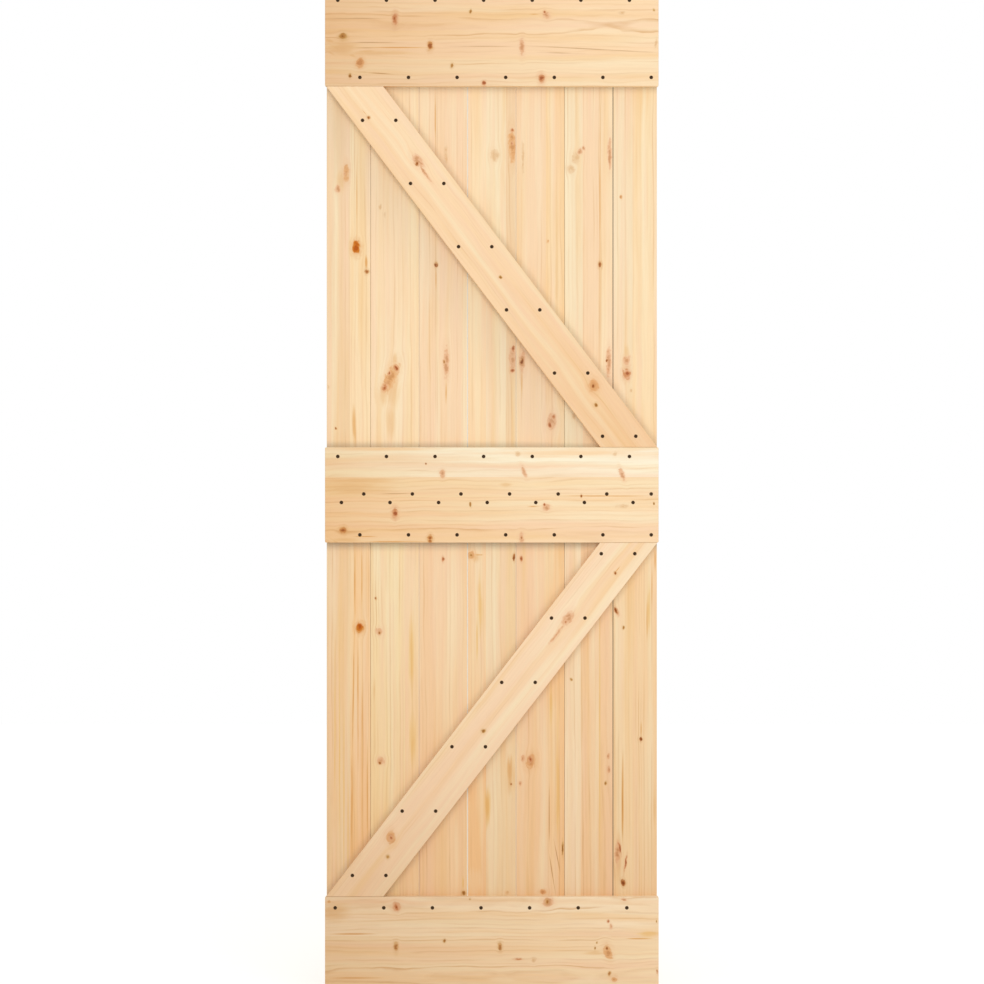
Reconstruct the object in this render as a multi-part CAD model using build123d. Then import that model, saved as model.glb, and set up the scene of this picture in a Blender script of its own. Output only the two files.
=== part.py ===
from build123d import *
import math
import os

# Sliding barn door slab in knotty pine, of the kind that is hung from an overhead track.
# Two tiers of tongue-and-groove boards meet behind the middle rail. Three flat rails and two
# diagonal braces are screwed to their front, so that the braces draw a sideways V.
# Frame: X across the door, +Y from the front to the back, +Z up.
# The origin is the centre of the top rail's front face, where the hangers bolt on.

# Driving sizes, in millimetres

# Whole door
door_width = 711.0
door_height = 2134.0
upper_opening = 770.0

# Rails and braces
rail_height = 203.0
rail_thickness = 17.0
rail_overhang = 2.7
brace_width = 96.5
brace_end_gap = 0.3
edge_ease = 1.2
corner_round = 2.5

# Tongue-and-groove boards
board_thickness = 18.0
board_pitch = 103.6
board_gap = 0.3
board_chamfer = 0.8
tongue_length = 8.0
tongue_thickness = 6.0
tongue_clearance = 0.3
seam_drop = 7.0

# Countersunk seats of the wood screws
screw_seat = 8.4
screw_shank = 4.5
screw_seat_angle = 90.0
screw_seat_lead = 1.0
screw_seat_sides = 16
screw_end_inset = 13.0

# Where the screws of each rail row stand, from the left edge of the board that they hold
top_row_upper = 34.4
top_row_lower = 81.4
middle_row_upper = 34.4
middle_row_above_seam = 89.7
middle_row_below_seam = 42.0
middle_row_lower = 81.4
bottom_row_upper = 28.8
bottom_row_lower = 81.4

# How far each rail row stands inside the rail's edge, or off the seam of the two tiers
top_upper_inset = 20.0
top_lower_inset = 18.5
middle_upper_inset = 19.5
middle_lower_inset = 16.5
seam_inset = 9.1
bottom_upper_inset = 23.5
bottom_lower_inset = 11.0

# Pairs of brace screws: from the brace's sides, from pair to pair, and how far the row of pairs
# is moved to the right and up from the brace's middle
brace_screw_inset = 20.0
upper_pair_pitch = 102.3
upper_pair_shift = 15.7
upper_pair_lift = -4.0
lower_pair_pitch = 106.1
lower_pair_shift = 3.8
lower_pair_lift = 6.0

# Heights and depths that follow from the driving sizes

panel_width = door_width - 2 * rail_overhang
board_count = math.ceil(panel_width / board_pitch)

door_top = rail_height / 2
door_bottom = door_top - door_height
middle_rail_z = -rail_height - upper_opening
bottom_rail_z = door_bottom + rail_height / 2
seam_z = middle_rail_z - seam_drop

board_front = rail_thickness
board_middle = board_front + board_thickness / 2

front_plane = Plane(origin=(0, 0, 0), x_dir=(1, 0, 0), z_dir=(0, -1, 0))


def joint_positions():
    """X of each line where two boards meet, from left to right, centred on the door."""
    lines = board_count - 1
    return [(i - (lines - 1) / 2) * board_pitch for i in range(lines)]


def board_edges():
    """X of the left and right side of each board, the outer two cut to the panel's width."""
    sides = [-panel_width / 2, *joint_positions(), panel_width / 2]
    return list(zip(sides[:-1], sides[1:]))


def board_profile(index):
    """Section of one board across its width: chamfered arrises, a tongue right and a groove left."""
    left, right = board_edges()[index]
    left_gap = board_gap / 2 if index > 0 else 0.0
    right_gap = board_gap / 2 if index < board_count - 1 else 0.0
    low, high = left + left_gap, right - right_gap
    body = Pos((low + high) / 2, board_middle) * Rectangle(high - low, board_thickness)
    section = chamfer(body.vertices(), board_chamfer)
    if right_gap:
        reach = Pos(high + tongue_length / 2, board_middle)
        section += reach * Rectangle(tongue_length, tongue_thickness)
    if left_gap:
        depth = tongue_length - board_gap + tongue_clearance
        width = tongue_thickness + 2 * tongue_clearance
        section -= Pos(low + depth / 2, board_middle) * Rectangle(depth, width)
    return section


def board(index, bottom, top):
    """One vertical board between two heights."""
    return extrude(Pos(0, 0, bottom) * board_profile(index), amount=top - bottom)


def ease_front(plank):
    """Rounds the arris all round a plank's front face."""
    front = plank.faces().sort_by(Axis.Y)[0]
    return fillet(front.edges(), edge_ease)


def seat_cut(x, z):
    """Tapered cut for one countersunk screw head, from the front down to the screw's shank.

    Each of the many seats is a cone with few sides, to keep the whole door light.
    """
    flare = math.tan(math.radians(screw_seat_angle / 2))
    depth = (screw_seat - screw_shank) / 2 / flare
    mouth = RegularPolygon(screw_seat / 2 + screw_seat_lead * flare, screw_seat_sides)
    foot = RegularPolygon(screw_shank / 2, screw_seat_sides)
    levels = [Pos(x, z, screw_seat_lead) * mouth, Pos(x, z, -depth) * foot]
    return loft([front_plane * level for level in levels], ruled=True)


def seat_row(offset, z):
    """One screw seat for each board, at the same distance from every board's nominal left side."""
    reach = panel_width / 2 - screw_end_inset
    first = joint_positions()[0] - board_pitch + offset
    places = [first + i * board_pitch for i in range(board_count)]
    return [seat_cut(max(-reach, min(reach, x)), z) for x in places]


def rail(z, rows):
    """A flat rail across the door at height z, with (offset, height above its middle) rows of screw seats."""
    plank = Pos(0, rail_thickness / 2, z) * Box(door_width, rail_thickness, rail_height)
    plank = fillet(plank.edges().filter_by(Axis.Y), corner_round)
    plank = ease_front(plank)
    seats = [seat for offset, height in rows for seat in seat_row(offset, z + height)]
    return plank - seats


def brace_run(rise):
    """Length of a brace's level end cut, so that its sides stand brace_width apart.

    The brace fills its opening from corner to corner of the panel. With the level cut as run, its sides
    lean by panel_width - run over rise, and run / brace_width is their length over rise: a quadratic in run.
    """
    a = rise**2 - brace_width**2
    b = 2 * brace_width**2 * panel_width
    c = -(brace_width**2) * (rise**2 + panel_width**2)
    return (-b + math.sqrt(b**2 - 4 * a * c)) / (2 * a)


def brace(bottom, top, top_side, pitch, shift, lift):
    """A diagonal brace between two rails. top_side is -1 for a top left start and 1 for a top right one.

    It has one pair of screw seats for each board joint, at its own pitch, moved by shift and lift.
    """
    low, high = bottom + brace_end_gap, top - brace_end_gap
    rise = high - low
    run = brace_run(rise)
    half = panel_width / 2
    corners = [
        (top_side * half, high),
        (top_side * (half - run), high),
        (-top_side * half, low),
        (-top_side * (half - run), low),
    ]
    outline = make_face(Polyline(*corners, close=True))
    plank = ease_front(extrude(front_plane * outline, amount=-rail_thickness))

    middle = (low + high) / 2
    slope = top_side * rise / (panel_width - run)
    spread = run / 2 - brace_screw_inset * run / brace_width
    seats = []
    for line in joint_positions():
        x = line * pitch / board_pitch + shift
        z = middle + slope * x + lift
        seats += [seat_cut(x - spread, z), seat_cut(x + spread, z)]
    return plank - seats


def build():
    """Every named piece of the door."""
    half = rail_height / 2
    top_rail_foot = -half
    middle_rail_head = middle_rail_z + half
    middle_rail_foot = middle_rail_z - half
    bottom_rail_head = bottom_rail_z + half

    pieces = {
        "top_rail": rail(
            0,
            [
                (top_row_upper, half - top_upper_inset),
                (top_row_lower, top_lower_inset - half),
            ],
        ),
        "middle_rail": rail(
            middle_rail_z,
            [
                (middle_row_upper, half - middle_upper_inset),
                (middle_row_above_seam, seam_inset - seam_drop),
                (middle_row_below_seam, -seam_inset - seam_drop),
                (middle_row_lower, middle_lower_inset - half),
            ],
        ),
        "bottom_rail": rail(
            bottom_rail_z,
            [
                (bottom_row_upper, half - bottom_upper_inset),
                (bottom_row_lower, bottom_lower_inset - half),
            ],
        ),
        "upper_brace": brace(
            middle_rail_head, top_rail_foot, -1, upper_pair_pitch, upper_pair_shift, upper_pair_lift
        ),
        "lower_brace": brace(
            bottom_rail_head, middle_rail_foot, 1, lower_pair_pitch, lower_pair_shift, lower_pair_lift
        ),
    }
    for i in range(board_count):
        pieces[f"upper_board_{i + 1}"] = board(i, seam_z + board_gap / 2, door_top)
        pieces[f"lower_board_{i + 1}"] = board(i, door_bottom, seam_z - board_gap / 2)
    return pieces


os.makedirs("parts", exist_ok=True)
for name, piece in build().items():
    export_step(piece, f"parts/{name}.step")
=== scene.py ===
"""Looks of a sliding barn door slab: bare knotty pine planks with dark screws, in a white studio."""

import logging
import math
from dataclasses import dataclass, replace
from enum import Enum
from typing import Any, Sequence

import bmesh
import bpy
from bmesh.types import BMEdge, BMesh, BMVert
from bpy.types import Material, Node, NodeSocket, NodeTree, Object, World
from mathutils import Matrix, Vector


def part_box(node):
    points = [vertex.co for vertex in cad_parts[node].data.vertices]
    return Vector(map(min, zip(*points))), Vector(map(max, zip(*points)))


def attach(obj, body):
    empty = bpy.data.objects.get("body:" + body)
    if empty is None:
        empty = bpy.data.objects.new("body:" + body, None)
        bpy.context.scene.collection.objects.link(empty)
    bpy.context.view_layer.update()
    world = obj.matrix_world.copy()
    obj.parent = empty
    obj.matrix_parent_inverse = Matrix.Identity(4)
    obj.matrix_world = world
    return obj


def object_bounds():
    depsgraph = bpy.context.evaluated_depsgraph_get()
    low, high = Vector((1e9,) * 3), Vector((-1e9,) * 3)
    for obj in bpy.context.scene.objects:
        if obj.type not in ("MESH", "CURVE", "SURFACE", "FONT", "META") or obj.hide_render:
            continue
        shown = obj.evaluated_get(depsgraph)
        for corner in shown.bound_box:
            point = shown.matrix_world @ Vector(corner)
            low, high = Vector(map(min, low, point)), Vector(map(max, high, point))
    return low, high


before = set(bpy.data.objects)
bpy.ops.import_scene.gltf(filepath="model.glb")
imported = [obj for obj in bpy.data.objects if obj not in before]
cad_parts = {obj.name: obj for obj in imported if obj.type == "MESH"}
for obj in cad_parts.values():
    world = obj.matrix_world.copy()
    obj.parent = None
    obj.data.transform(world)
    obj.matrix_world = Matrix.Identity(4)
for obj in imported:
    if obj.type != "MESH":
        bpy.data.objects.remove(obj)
cad_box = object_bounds()

LOG = logging.getLogger("sliding_door")
MM = 0.001


def linear(colour: str) -> tuple[float, float, float, float]:
    """Turns an sRGB hex colour into the linear one, with full alpha, that a socket takes."""
    channels = [int(colour[i:i + 2], 16) / 255 for i in (1, 3, 5)]
    red, green, blue = (c / 12.92 if c <= 0.04045 else ((c + 0.055) / 1.055) ** 2.4 for c in channels)
    return red, green, blue, 1.0


def grey(amount: float) -> tuple[float, float, float, float]:
    """Gives an amount as a colour, for a stop of a ramp."""
    return amount, amount, amount, 1.0


def per_size(*sizes: float) -> tuple[float, ...]:
    """Turns the real sizes of a pattern's marks, in millimetres, into its scale per metre."""
    return tuple(1 / (size * MM) for size in sizes)


def add_node(
    tree: NodeTree,
    kind: str,
    inputs: dict[str | int, Any] | None = None,
    stops: Sequence[tuple[float, tuple[float, ...]]] = (),
    **settings: Any,
) -> Node:
    """Adds one shader node with its settings and links.

    Args:
        tree: the material's or world's node tree.
        kind: the node's type, without the ShaderNode in front.
        inputs: what each socket holds, by name or number: a value, an output, or a node whose first
            output in use feeds it.
        stops: place and colour of each stop of a colour ramp.
        settings: the node's own properties.

    Returns:
        The new node.
    """
    node = tree.nodes.new(f"ShaderNode{kind}")
    for name, value in settings.items():
        setattr(node, name, value)
    sockets = {socket.name: socket for socket in reversed(node.inputs) if socket.enabled}
    for key, value in (inputs or {}).items():
        socket = node.inputs[key] if isinstance(key, int) else sockets[key]
        if isinstance(value, Node):
            value = next(output for output in value.outputs if output.enabled)
        if isinstance(value, NodeSocket):
            tree.links.new(value, socket)
        else:
            socket.default_value = value
    for i, (place, colour) in enumerate(stops):
        ramp = node.color_ramp.elements
        stop = ramp[i] if i < 2 else ramp.new(place)
        stop.position, stop.color = place, colour
    return node


def blank_tree(owner: Material | World) -> NodeTree:
    """Gives a material or world an empty node tree."""
    owner.use_nodes = True
    owner.node_tree.nodes.clear()
    return owner.node_tree


def pick(items: Sequence[Any], kind: type) -> list[Any]:
    """Picks the items of one kind, such as corners, out of what an operator made."""
    return [item for item in items if isinstance(item, kind)]


@dataclass(frozen=True)
class Photograph:
    """The photograph's frame, which is front-on, and its scale on the door's front plane."""

    pixels: int = 984
    mm_per_pixel: float = 2.1313
    centre_column: float = 491.8
    door_top_row: float = -9.2

    def x(self, column: float) -> float:
        """Gives the door's X of a column, in metres."""
        return (column - self.centre_column) * self.mm_per_pixel * MM

    def z(self, row: float) -> float:
        """Gives the door's Z of a row, in metres."""
        return cad_box[1][2] - (row - self.door_top_row) * self.mm_per_pixel * MM


PHOTO = Photograph()


class Tone(Enum):
    """Ground tones of bare pine, from sapwood to resinous heartwood."""

    MILK = "#FFF5DA"
    IVORY = "#FDE7C5"
    PALE = "#F7E0BA"
    CREAM = "#FADEB6"
    STRAW = "#FBDFB4"
    LEMON = "#FAE0B0"
    BLUSH = "#FADAB6"
    BISQUE = "#F8D7B0"
    HONEY = "#FAD9AC"
    PEACH = "#FBDAB0"
    ROSE = "#F9D4A9"
    GOLD = "#F9D5A4"
    AMBER = "#FACF9B"
    TAN = "#F1D1A7"


@dataclass(frozen=True)
class SawnFace:
    """Where a stave was cut from its log, in millimetres.

    The rings are circles about the log's heart, so its depth below the face and its distance aside draw
    straight lines, leaning arcs or flames.
    """

    depth: float
    aside: float
    ring: float
    contrast: float


class Cut(Enum):
    """How a stave was sawn. A real ring is 2 to 4 mm wide, and is drawn wider here so that it shows."""

    QUARTER = SawnFace(depth=30, aside=160, ring=7.0, contrast=0.70)
    RIFT = SawnFace(depth=55, aside=70, ring=6.5, contrast=0.80)
    CLEAR = SawnFace(depth=60, aside=120, ring=9.0, contrast=0.45)
    WAVY = SawnFace(depth=40, aside=38, ring=6.5, contrast=0.85)
    SOFT = SawnFace(depth=40, aside=38, ring=6.5, contrast=0.45)
    STRIPED = SawnFace(depth=30, aside=160, ring=7.0, contrast=1.1)


@dataclass(frozen=True)
class Stave:
    """One glued strip of a plank: its tone, its cut, and the photograph's column or row where it ends."""

    tone: Tone
    cut: Cut
    until: float = math.inf


@dataclass(frozen=True)
class KnotFinish:
    """Colours of a kind of knot or stain from its middle outwards, and how hard it pushes the grain aside.

    A knot is darkest at its core and pales towards its rim. A stain pushes nothing and has soft sides.
    """

    core: str
    body: str
    rim: str
    cover: float
    push: float
    halo: float = 0.0


class Mark(Enum):
    """Kinds of knots and stains in the wood."""

    RED = KnotFinish("#A65628", "#D08C5A", "#E6B288", cover=0.95, push=0.8, halo=0.38)
    RUST = KnotFinish("#A25A20", "#CE8E4E", "#E4B47C", cover=0.95, push=0.8, halo=0.38)
    HAZEL = KnotFinish("#9C6624", "#C08A44", "#D8B072", cover=0.95, push=0.8, halo=0.30)
    TAWNY = KnotFinish("#AE7030", "#D8A566", "#E4BB84", cover=0.90, push=0.8, halo=0.30)
    ORANGE = KnotFinish("#B8580A", "#CE761E", "#DE9C54", cover=1.0, push=0.9, halo=0.40)
    DARK = KnotFinish("#8C4A1A", "#B2703A", "#D8A66E", cover=1.0, push=0.7, halo=0.30)
    APRICOT = KnotFinish("#CC8A4C", "#E2A66A", "#EBBA86", cover=0.85, push=0.8, halo=0.25)
    PINK = KnotFinish("#CC8E5E", "#E6B186", "#EFC49C", cover=0.85, push=0.7, halo=0.25)
    FAINT = KnotFinish("#DCAE7A", "#E8C294", "#EECDA2", cover=0.65, push=0.6, halo=0.15)
    STAIN = KnotFinish("#E9BE86", "#EDC58F", "#F2CF9C", cover=0.60, push=0.0)
    SAP = KnotFinish("#EFC27A", "#F2CB8A", "#F5D69C", cover=0.75, push=0.0)
    RESIN = KnotFinish("#DC9A4A", "#E3AC66", "#EEC48A", cover=0.75, push=0.0)
    PITCH = KnotFinish("#B67E42", "#C49256", "#DCB27A", cover=0.75, push=0.0)
    LINE = KnotFinish("#C2996C", "#CDA679", "#DEB98C", cover=0.75, push=0.0)
    BUTTER = KnotFinish("#FAD6A8", "#FAD9AE", "#FBDFB8", cover=0.80, push=0.0)


@dataclass(frozen=True)
class Knot:
    """One knot or stain: its middle by the photograph's column and row, and its size in millimetres.

    The lean turns it clockwise, in degrees.
    """

    column: float
    row: float
    wide: float
    tall: float
    mark: Mark
    lean: float = 0.0


@dataclass(frozen=True)
class Fade:
    """A painted shade along a plank, as a tint: how much of it there is at its left or top end and at its
    right or bottom end.
    """

    tint: str
    start: float
    end: float


@dataclass(frozen=True)
class Look:
    """What one plank shows: its staves from the left or the top, and its knots and stains."""

    staves: tuple[Stave, ...]
    knots: tuple[Knot, ...]

    @classmethod
    def of(cls, staves: tuple[Stave, ...], *knots: Knot) -> "Look":
        """Takes the staves together and the knots one by one."""
        return cls(staves, knots)


@dataclass(frozen=True)
class Strip:
    """What a rail or brace covers of the boards: the direction across it, its middle and half its width.

    Along its sides lies a painted shade, given by its cover and its reach in millimetres. The shade is the
    cover of a wider painted shadow on its lower side.
    """

    across: Vector
    middle: float
    half: float
    cover: float
    reach: float
    shade: float


class Run(Enum):
    """Which way a plank's staves are stacked and its fade runs.

    The value is a step from a stave's end into the stave, in millimetres along X or Z.
    """

    LEVEL = 40.0
    UPRIGHT = -20.0


@dataclass(frozen=True)
class Noise:
    """Noise along the grain: the length and width of its marks in millimetres, and how fine its detail is.

    The step moves it from one plank to the next, in marks.
    """

    long: float
    wide: float
    detail: float = 2.0
    step: tuple[float, ...] = (0.0, 0.0, 0.0)


@dataclass(frozen=True)
class KnottyPine:
    """Knotty pine, edge-glued from staves, planed and sanded and left bare. Sizes are in millimetres.

    Planing gives a matt ground with thin, harder and smoother latewood lines. Sanding leaves fine fibre
    along the grain, and each knot bends the lines round itself. Sawn ends are darker.
    """

    latewood: str = "#DDAE78"
    warm_band: str = "#F4CC94"
    pale_band: str = "#FBEAC6"
    blush_band: str = "#F8D3B0"
    end_grain: str = "#D8B48C"
    # Grey of the V-joints, partly dust and partly painted shade, and their pale painted highlight; grey-green
    # painted shade beside the rails and braces, and how far the wider painted shadow reaches
    joint_dust_and_painted_light: str = "#6E604E"
    joint_painted_highlight: str = "#FFFAF0"
    painted_corner_shade: str = "#707E78"
    shade_reach: float = 150.0
    # How the painted shade along a plank grows towards its darker end
    fade_power: float = 2.0

    # Slow waves of the grain, and how far they bend it into the depth and aside
    waves: Noise = Noise(240.0, 90.0, 3.0, (3.7, 1.9, 5.3))
    wave_depth: float = 16.0
    wave_aside: float = 9.0

    # Rings about the heart of a log far longer than the door: how uneven the years are, how strong the
    # line of a lean or a good year is, and how the line grows through the year
    log_length: float = 1e6
    taper: float = math.radians(0.7)
    ring_drift: float = 2.2
    drift_pace: float = 0.21
    lean_power: float = 2.0
    year_line: tuple[float, float] = (0.12, 1.15)
    season: tuple[tuple[float, float], ...] = ((0.0, 0.3), (0.12, 0.0), (0.55, 0.0), (0.92, 1.0), (1.0, 0.3))

    # Patches where the lines show, from none of them to all
    patches: Noise = Noise(170.0, 16.0, 1.0, (4.1, 0.7, 2.9))
    line_shows: tuple[float, float] = (0.34, 0.68)

    # Broad bands of another tint, and fine fibre that is lighter or darker by a share
    bands: Noise = Noise(700.0, 22.0, step=(2.3, 7.1, 1.7))
    band_shows: tuple[float, float] = (0.47, 0.75)
    band_cover: float = 0.75
    fibre: Noise = Noise(55.0, 2.4)
    fibre_shade: float = 0.045

    # Knots: their ragged outline, how far they bend the grain in knot radii, and their fuzzy colours
    knot_ragged: float = 12.0
    knot_wobble: float = 6.0
    push_reach: float = 3.0
    knot_fuzz: Noise = Noise(8.0, 3.5)
    streak_fuzz: Noise = Noise(80.0, 5.0)
    knot_mottle: float = 2.2
    knot_edge: float = 1.3
    knot_span: float = 2.0
    tint_places: tuple[float, ...] = (0.12, 0.26, 0.36, 0.52)
    edge_place: float = 0.44
    halo_place: float = 0.56
    stain_soft: float = 0.24

    # How far a face is turned to the grain, to the side or to the front, as a part of its normal
    sawn_turn: tuple[float, float] = (0.7, 0.95)
    chamfer_turn: tuple[float, float] = (0.5, 0.68)
    front_turn: float = -0.5

    # Shine and relief
    ground_roughness: float = 0.66
    latewood_roughness: float = 0.50
    specular: float = 0.2
    ring_relief: float = 0.12
    relief_strength: float = 0.35


@dataclass
class PlankPine:
    """The pine of one plank of the door.

    Its fields are the finish, the plank's node, what it shows, which way its staves are stacked, the turn
    about Y that lays its grain along X in radians, a number that sets its grain apart from the others', its
    painted shade along its length, how much grey dust and painted shade lie in the V-joints at its left and
    right side, below 0 for a painted highlight there, and what the rails and braces cover of it, with the
    painted shade beside them.
    """

    pine: KnottyPine
    name: str
    look: Look
    run: Run
    lie: float
    seed: int
    fade: Fade | None
    joint_dust_shade_glint: tuple[float, float] = (0.0, 0.0)
    strips: Sequence[Strip] = ()

    def __post_init__(self) -> None:
        """Starts the material with the plank's own coordinates."""
        self.material = bpy.data.materials.new(f"planed_knotty_pine_{self.name}")
        self.tree = blank_tree(self.material)
        self.place = self.add("TexCoord").outputs["Object"]

    def dress(self) -> None:
        """Builds the material and gives it to the plank."""
        pine = self.pine
        push, reaches = self.knots()
        grain = self.grain(push)
        tone, line = self.rings(grain)
        colour = self.ground(grain, tone, line)
        colour = self.knot_colour(grain, colour, reaches)
        # Painted shade along the plank, darker sawn ends, the joints' grey and painted highlight, and painted
        # shade beside the rails and braces
        if self.fade:
            colour = self.paint_shade_along(colour, self.fade)
        colour = self.ends(colour)
        colour = self.joints(colour)
        colour = self.paint_corner_shade(colour)
        rough = self.rescale(line, target=(pine.ground_roughness, pine.latewood_roughness))
        height = {"Height": line, "Strength": pine.relief_strength, "Distance": pine.ring_relief * MM}
        relief = self.add("Bump", height)
        surface = {"Base Color": colour, "Roughness": rough, "Normal": relief}
        shader = self.add("BsdfPrincipled", surface | {"Specular IOR Level": pine.specular})
        self.add("OutputMaterial", {"Surface": shader})
        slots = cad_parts[self.name].data.materials
        slots.clear()
        slots.append(self.material)
        LOG.info("%s: %d shader nodes", self.name, len(self.tree.nodes))

    def add(
        self, kind: str, inputs: dict[Any, Any] | None = None, stops: Sequence[Any] = (), **settings: Any
    ) -> Node:
        """Adds one node to the plank's material."""
        return add_node(self.tree, kind, inputs, stops, **settings)

    def maths(self, operation: str, *values: Any) -> Node:
        """Calculates with numbers."""
        return self.add("Math", dict(enumerate(values)), operation=operation)

    def vectors(self, operation: str, *values: Any) -> Node:
        """Calculates with vectors."""
        return self.add("VectorMath", dict(enumerate(values)), operation=operation)

    def blend(self, factor: Any, first: Any, second: Any, kind: str = "MIX") -> Node:
        """Blends two colours."""
        inputs = {"Factor": factor, "A": first, "B": second}
        return self.add("Mix", inputs, data_type="RGBA", blend_type=kind)

    def rescale(
        self,
        value: Any,
        source: Sequence[float] = (0.0, 1.0),
        target: Sequence[float] = (0.0, 1.0),
        kind: str = "LINEAR",
    ) -> Node:
        """Moves a value from one range to another, and holds it at its ends."""
        names = ("Value", "From Min", "From Max", "To Min", "To Max")
        inputs = dict(zip(names, (value, *source, *target)))
        return self.add("MapRange", inputs, interpolation_type=kind)

    def local(
        self, place: Any, middle: Sequence[float], turn: Sequence[float], size: Sequence[float]
    ) -> Node:
        """Measures places from a middle, turned, in shares of a size."""
        inputs = {"Vector": place, "Location": middle, "Rotation": turn, "Scale": size}
        return self.add("Mapping", inputs, vector_type="TEXTURE")

    def noise(self, place: Node, noise: Noise) -> Node:
        """Adds noise to coordinates in metres whose X runs along the grain."""
        shift = tuple(self.seed * move for move in noise.step)
        scale = per_size(noise.long, noise.wide, noise.wide)
        spot = self.add("Mapping", {"Vector": place, "Location": shift, "Scale": scale})
        return self.add("TexNoise", {"Vector": spot, "Scale": 1.0, "Detail": noise.detail})

    def across(self, pixel: float) -> float:
        """Gives the place of a photograph's column or row across the staves, in metres."""
        return PHOTO.x(pixel) if self.run is Run.UPRIGHT else PHOTO.z(pixel)

    def facing(self) -> Node:
        """Splits the surface's normal into its parts."""
        return self.add("SeparateXYZ", {"Vector": self.add("NewGeometry").outputs["Normal"]})

    def knots(self) -> tuple[Any, dict[Mark, Node]]:
        """Measures how far each point is from the knots, and how far they push the grain aside.

        Returns:
            The push as a vector, and for each kind of mark the distance to the nearest one, where 1 is its
            edge.
        """
        scale = per_size(self.pine.knot_ragged)[0]
        ragged = self.add("TexNoise", {"Vector": self.place, "Scale": scale, "Detail": 2.0})
        wobble = Vector((self.pine.knot_wobble * MM,) * 3)
        uneven = self.vectors("MULTIPLY_ADD", ragged.outputs["Color"], wobble, self.place)
        push: Any = (0, 0, 0)
        reaches: dict[Mark, Node] = {}
        for knot in self.look.knots:
            hard = knot.mark.value.push
            place = uneven if hard else self.place
            middle = Vector((PHOTO.x(knot.column), 0, PHOTO.z(knot.row)))
            if hard:
                middle += wobble / 2
            size = (knot.wide * MM / 2, 1, knot.tall * MM / 2)
            local = self.local(place, middle, (0, math.radians(knot.lean), 0), size)
            reach = self.vectors("LENGTH", local)
            if hard:
                aside = hard * min(knot.wide, knot.tall) * MM / 2
                strength = self.rescale(reach, (0.0, self.pine.push_reach), (aside, 0.0), "SMOOTHSTEP")
                own = self.add("VectorMath", {0: local, "Scale": strength}, operation="SCALE")
                push = self.vectors("ADD", own, push)
            if knot.mark in reaches:
                reach = self.maths("MINIMUM", reach, reaches[knot.mark])
            reaches[knot.mark] = reach
        return push, reaches

    def grain(self, push: Any) -> Node:
        """Lays the grain along X, bent round the knots and by the slow waves of the tree's growth.

        Args:
            push: how far the knots push the grain aside.

        Returns:
            Grain coordinates in metres: X along, Y into the depth, Z across.
        """
        flow = self.vectors("SUBTRACT", self.place, push)
        turned = self.add("Mapping", {"Vector": flow, "Rotation": (0, self.lie, 0)})
        wave = self.noise(turned, self.pine.waves)
        bend = (0, self.pine.wave_depth * MM, self.pine.wave_aside * MM)
        return self.vectors("MULTIPLY_ADD", wave.outputs["Color"], bend, turned)

    def rings(self, grain: Node) -> tuple[Any, Node]:
        """Draws each stave's tone and its latewood lines.

        Args:
            grain: grain coordinates.

        Returns:
            The ground tone, and the strength of the latewood line at each point.
        """
        pine = self.pine
        axis, test = ("X", "GREATER_THAN") if self.run is Run.UPRIGHT else ("Z", "LESS_THAN")
        across = self.add("SeparateXYZ", {"Vector": self.place}).outputs[axis]
        edge = math.nan
        for i, stave in enumerate(self.look.staves):
            cut = stave.cut.value
            side = 1 if (self.seed + i) % 2 else -1
            heart = self.stave_middle(stave, edge) + side * cut.aside * MM
            size = (pine.log_length * MM, cut.ring * MM, cut.ring * MM)
            log = self.local(grain, (0, cut.depth * MM, heart), (0, 0, side * pine.taper), size)
            count = self.vectors("LENGTH", log)
            ground = linear(stave.tone.value)
            if i == 0:
                rings, contrast, tone = count, cut.contrast, ground
            else:
                beyond = self.maths(test, across, edge)
                rings = self.add("Mix", {"Factor": beyond, "A": rings, "B": count})
                contrast = self.add("Mix", {"Factor": beyond, "A": contrast, "B": cut.contrast})
                tone = self.blend(beyond, tone, ground)
            if math.isfinite(stave.until):
                edge = self.across(stave.until)
        slow = self.maths("MULTIPLY", rings, pine.drift_pace)
        drift = self.add("TexNoise", {"W": slow, "Scale": 1.0, "Detail": 1.0}, noise_dimensions="1D")
        uneven = self.maths("MULTIPLY_ADD", drift, pine.ring_drift, rings)
        year = self.maths("FLOOR", uneven)
        growth = self.add("TexWhiteNoise", {"W": year}, noise_dimensions="1D")
        lean_year = self.maths("POWER", growth.outputs["Value"], pine.lean_power)
        strength = self.rescale(lean_year, target=pine.year_line)
        stops = [(time, grey(amount)) for time, amount in pine.season]
        profile = self.add("ValToRGB", {"Fac": self.maths("FRACT", uneven)}, stops)
        line = self.maths("MULTIPLY", profile, strength)
        showing = self.rescale(self.noise(grain, pine.patches), pine.line_shows)
        line = self.maths("MULTIPLY", line, showing)
        return tone, self.maths("MULTIPLY", line, contrast)

    def stave_middle(self, stave: Stave, edge: float) -> float:
        """Finds where to measure a log's heart from, by its stave's end or the end of the stave before it."""
        step = self.run.value * MM
        if math.isfinite(stave.until):
            return self.across(stave.until) + step
        return 0.0 if math.isnan(edge) else edge - step

    def ground(self, grain: Node, tone: Any, line: Node) -> Node:
        """Colours the wood between its knots: broad bands, latewood lines and fine fibre.

        Args:
            grain: grain coordinates.
            tone: the ground tone.
            line: strength of the latewood line.

        Returns:
            The colour.
        """
        pine = self.pine
        bands = self.add("SeparateColor", {"Color": self.noise(grain, pine.bands).outputs["Color"]})
        fibre = self.noise(grain, pine.fibre)
        shade = self.rescale(fibre, target=(1 - pine.fibre_shade, 1 + pine.fibre_shade))
        colour = tone
        for channel, tint in (("Red", pine.warm_band), ("Green", pine.pale_band), ("Blue", pine.blush_band)):
            amount = self.rescale(bands.outputs[channel], pine.band_shows, (0.0, pine.band_cover))
            colour = self.blend(amount, colour, linear(tint))
        colour = self.blend(line, colour, linear(pine.latewood))
        return self.add("HueSaturation", {"Color": colour, "Value": shade})

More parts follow.
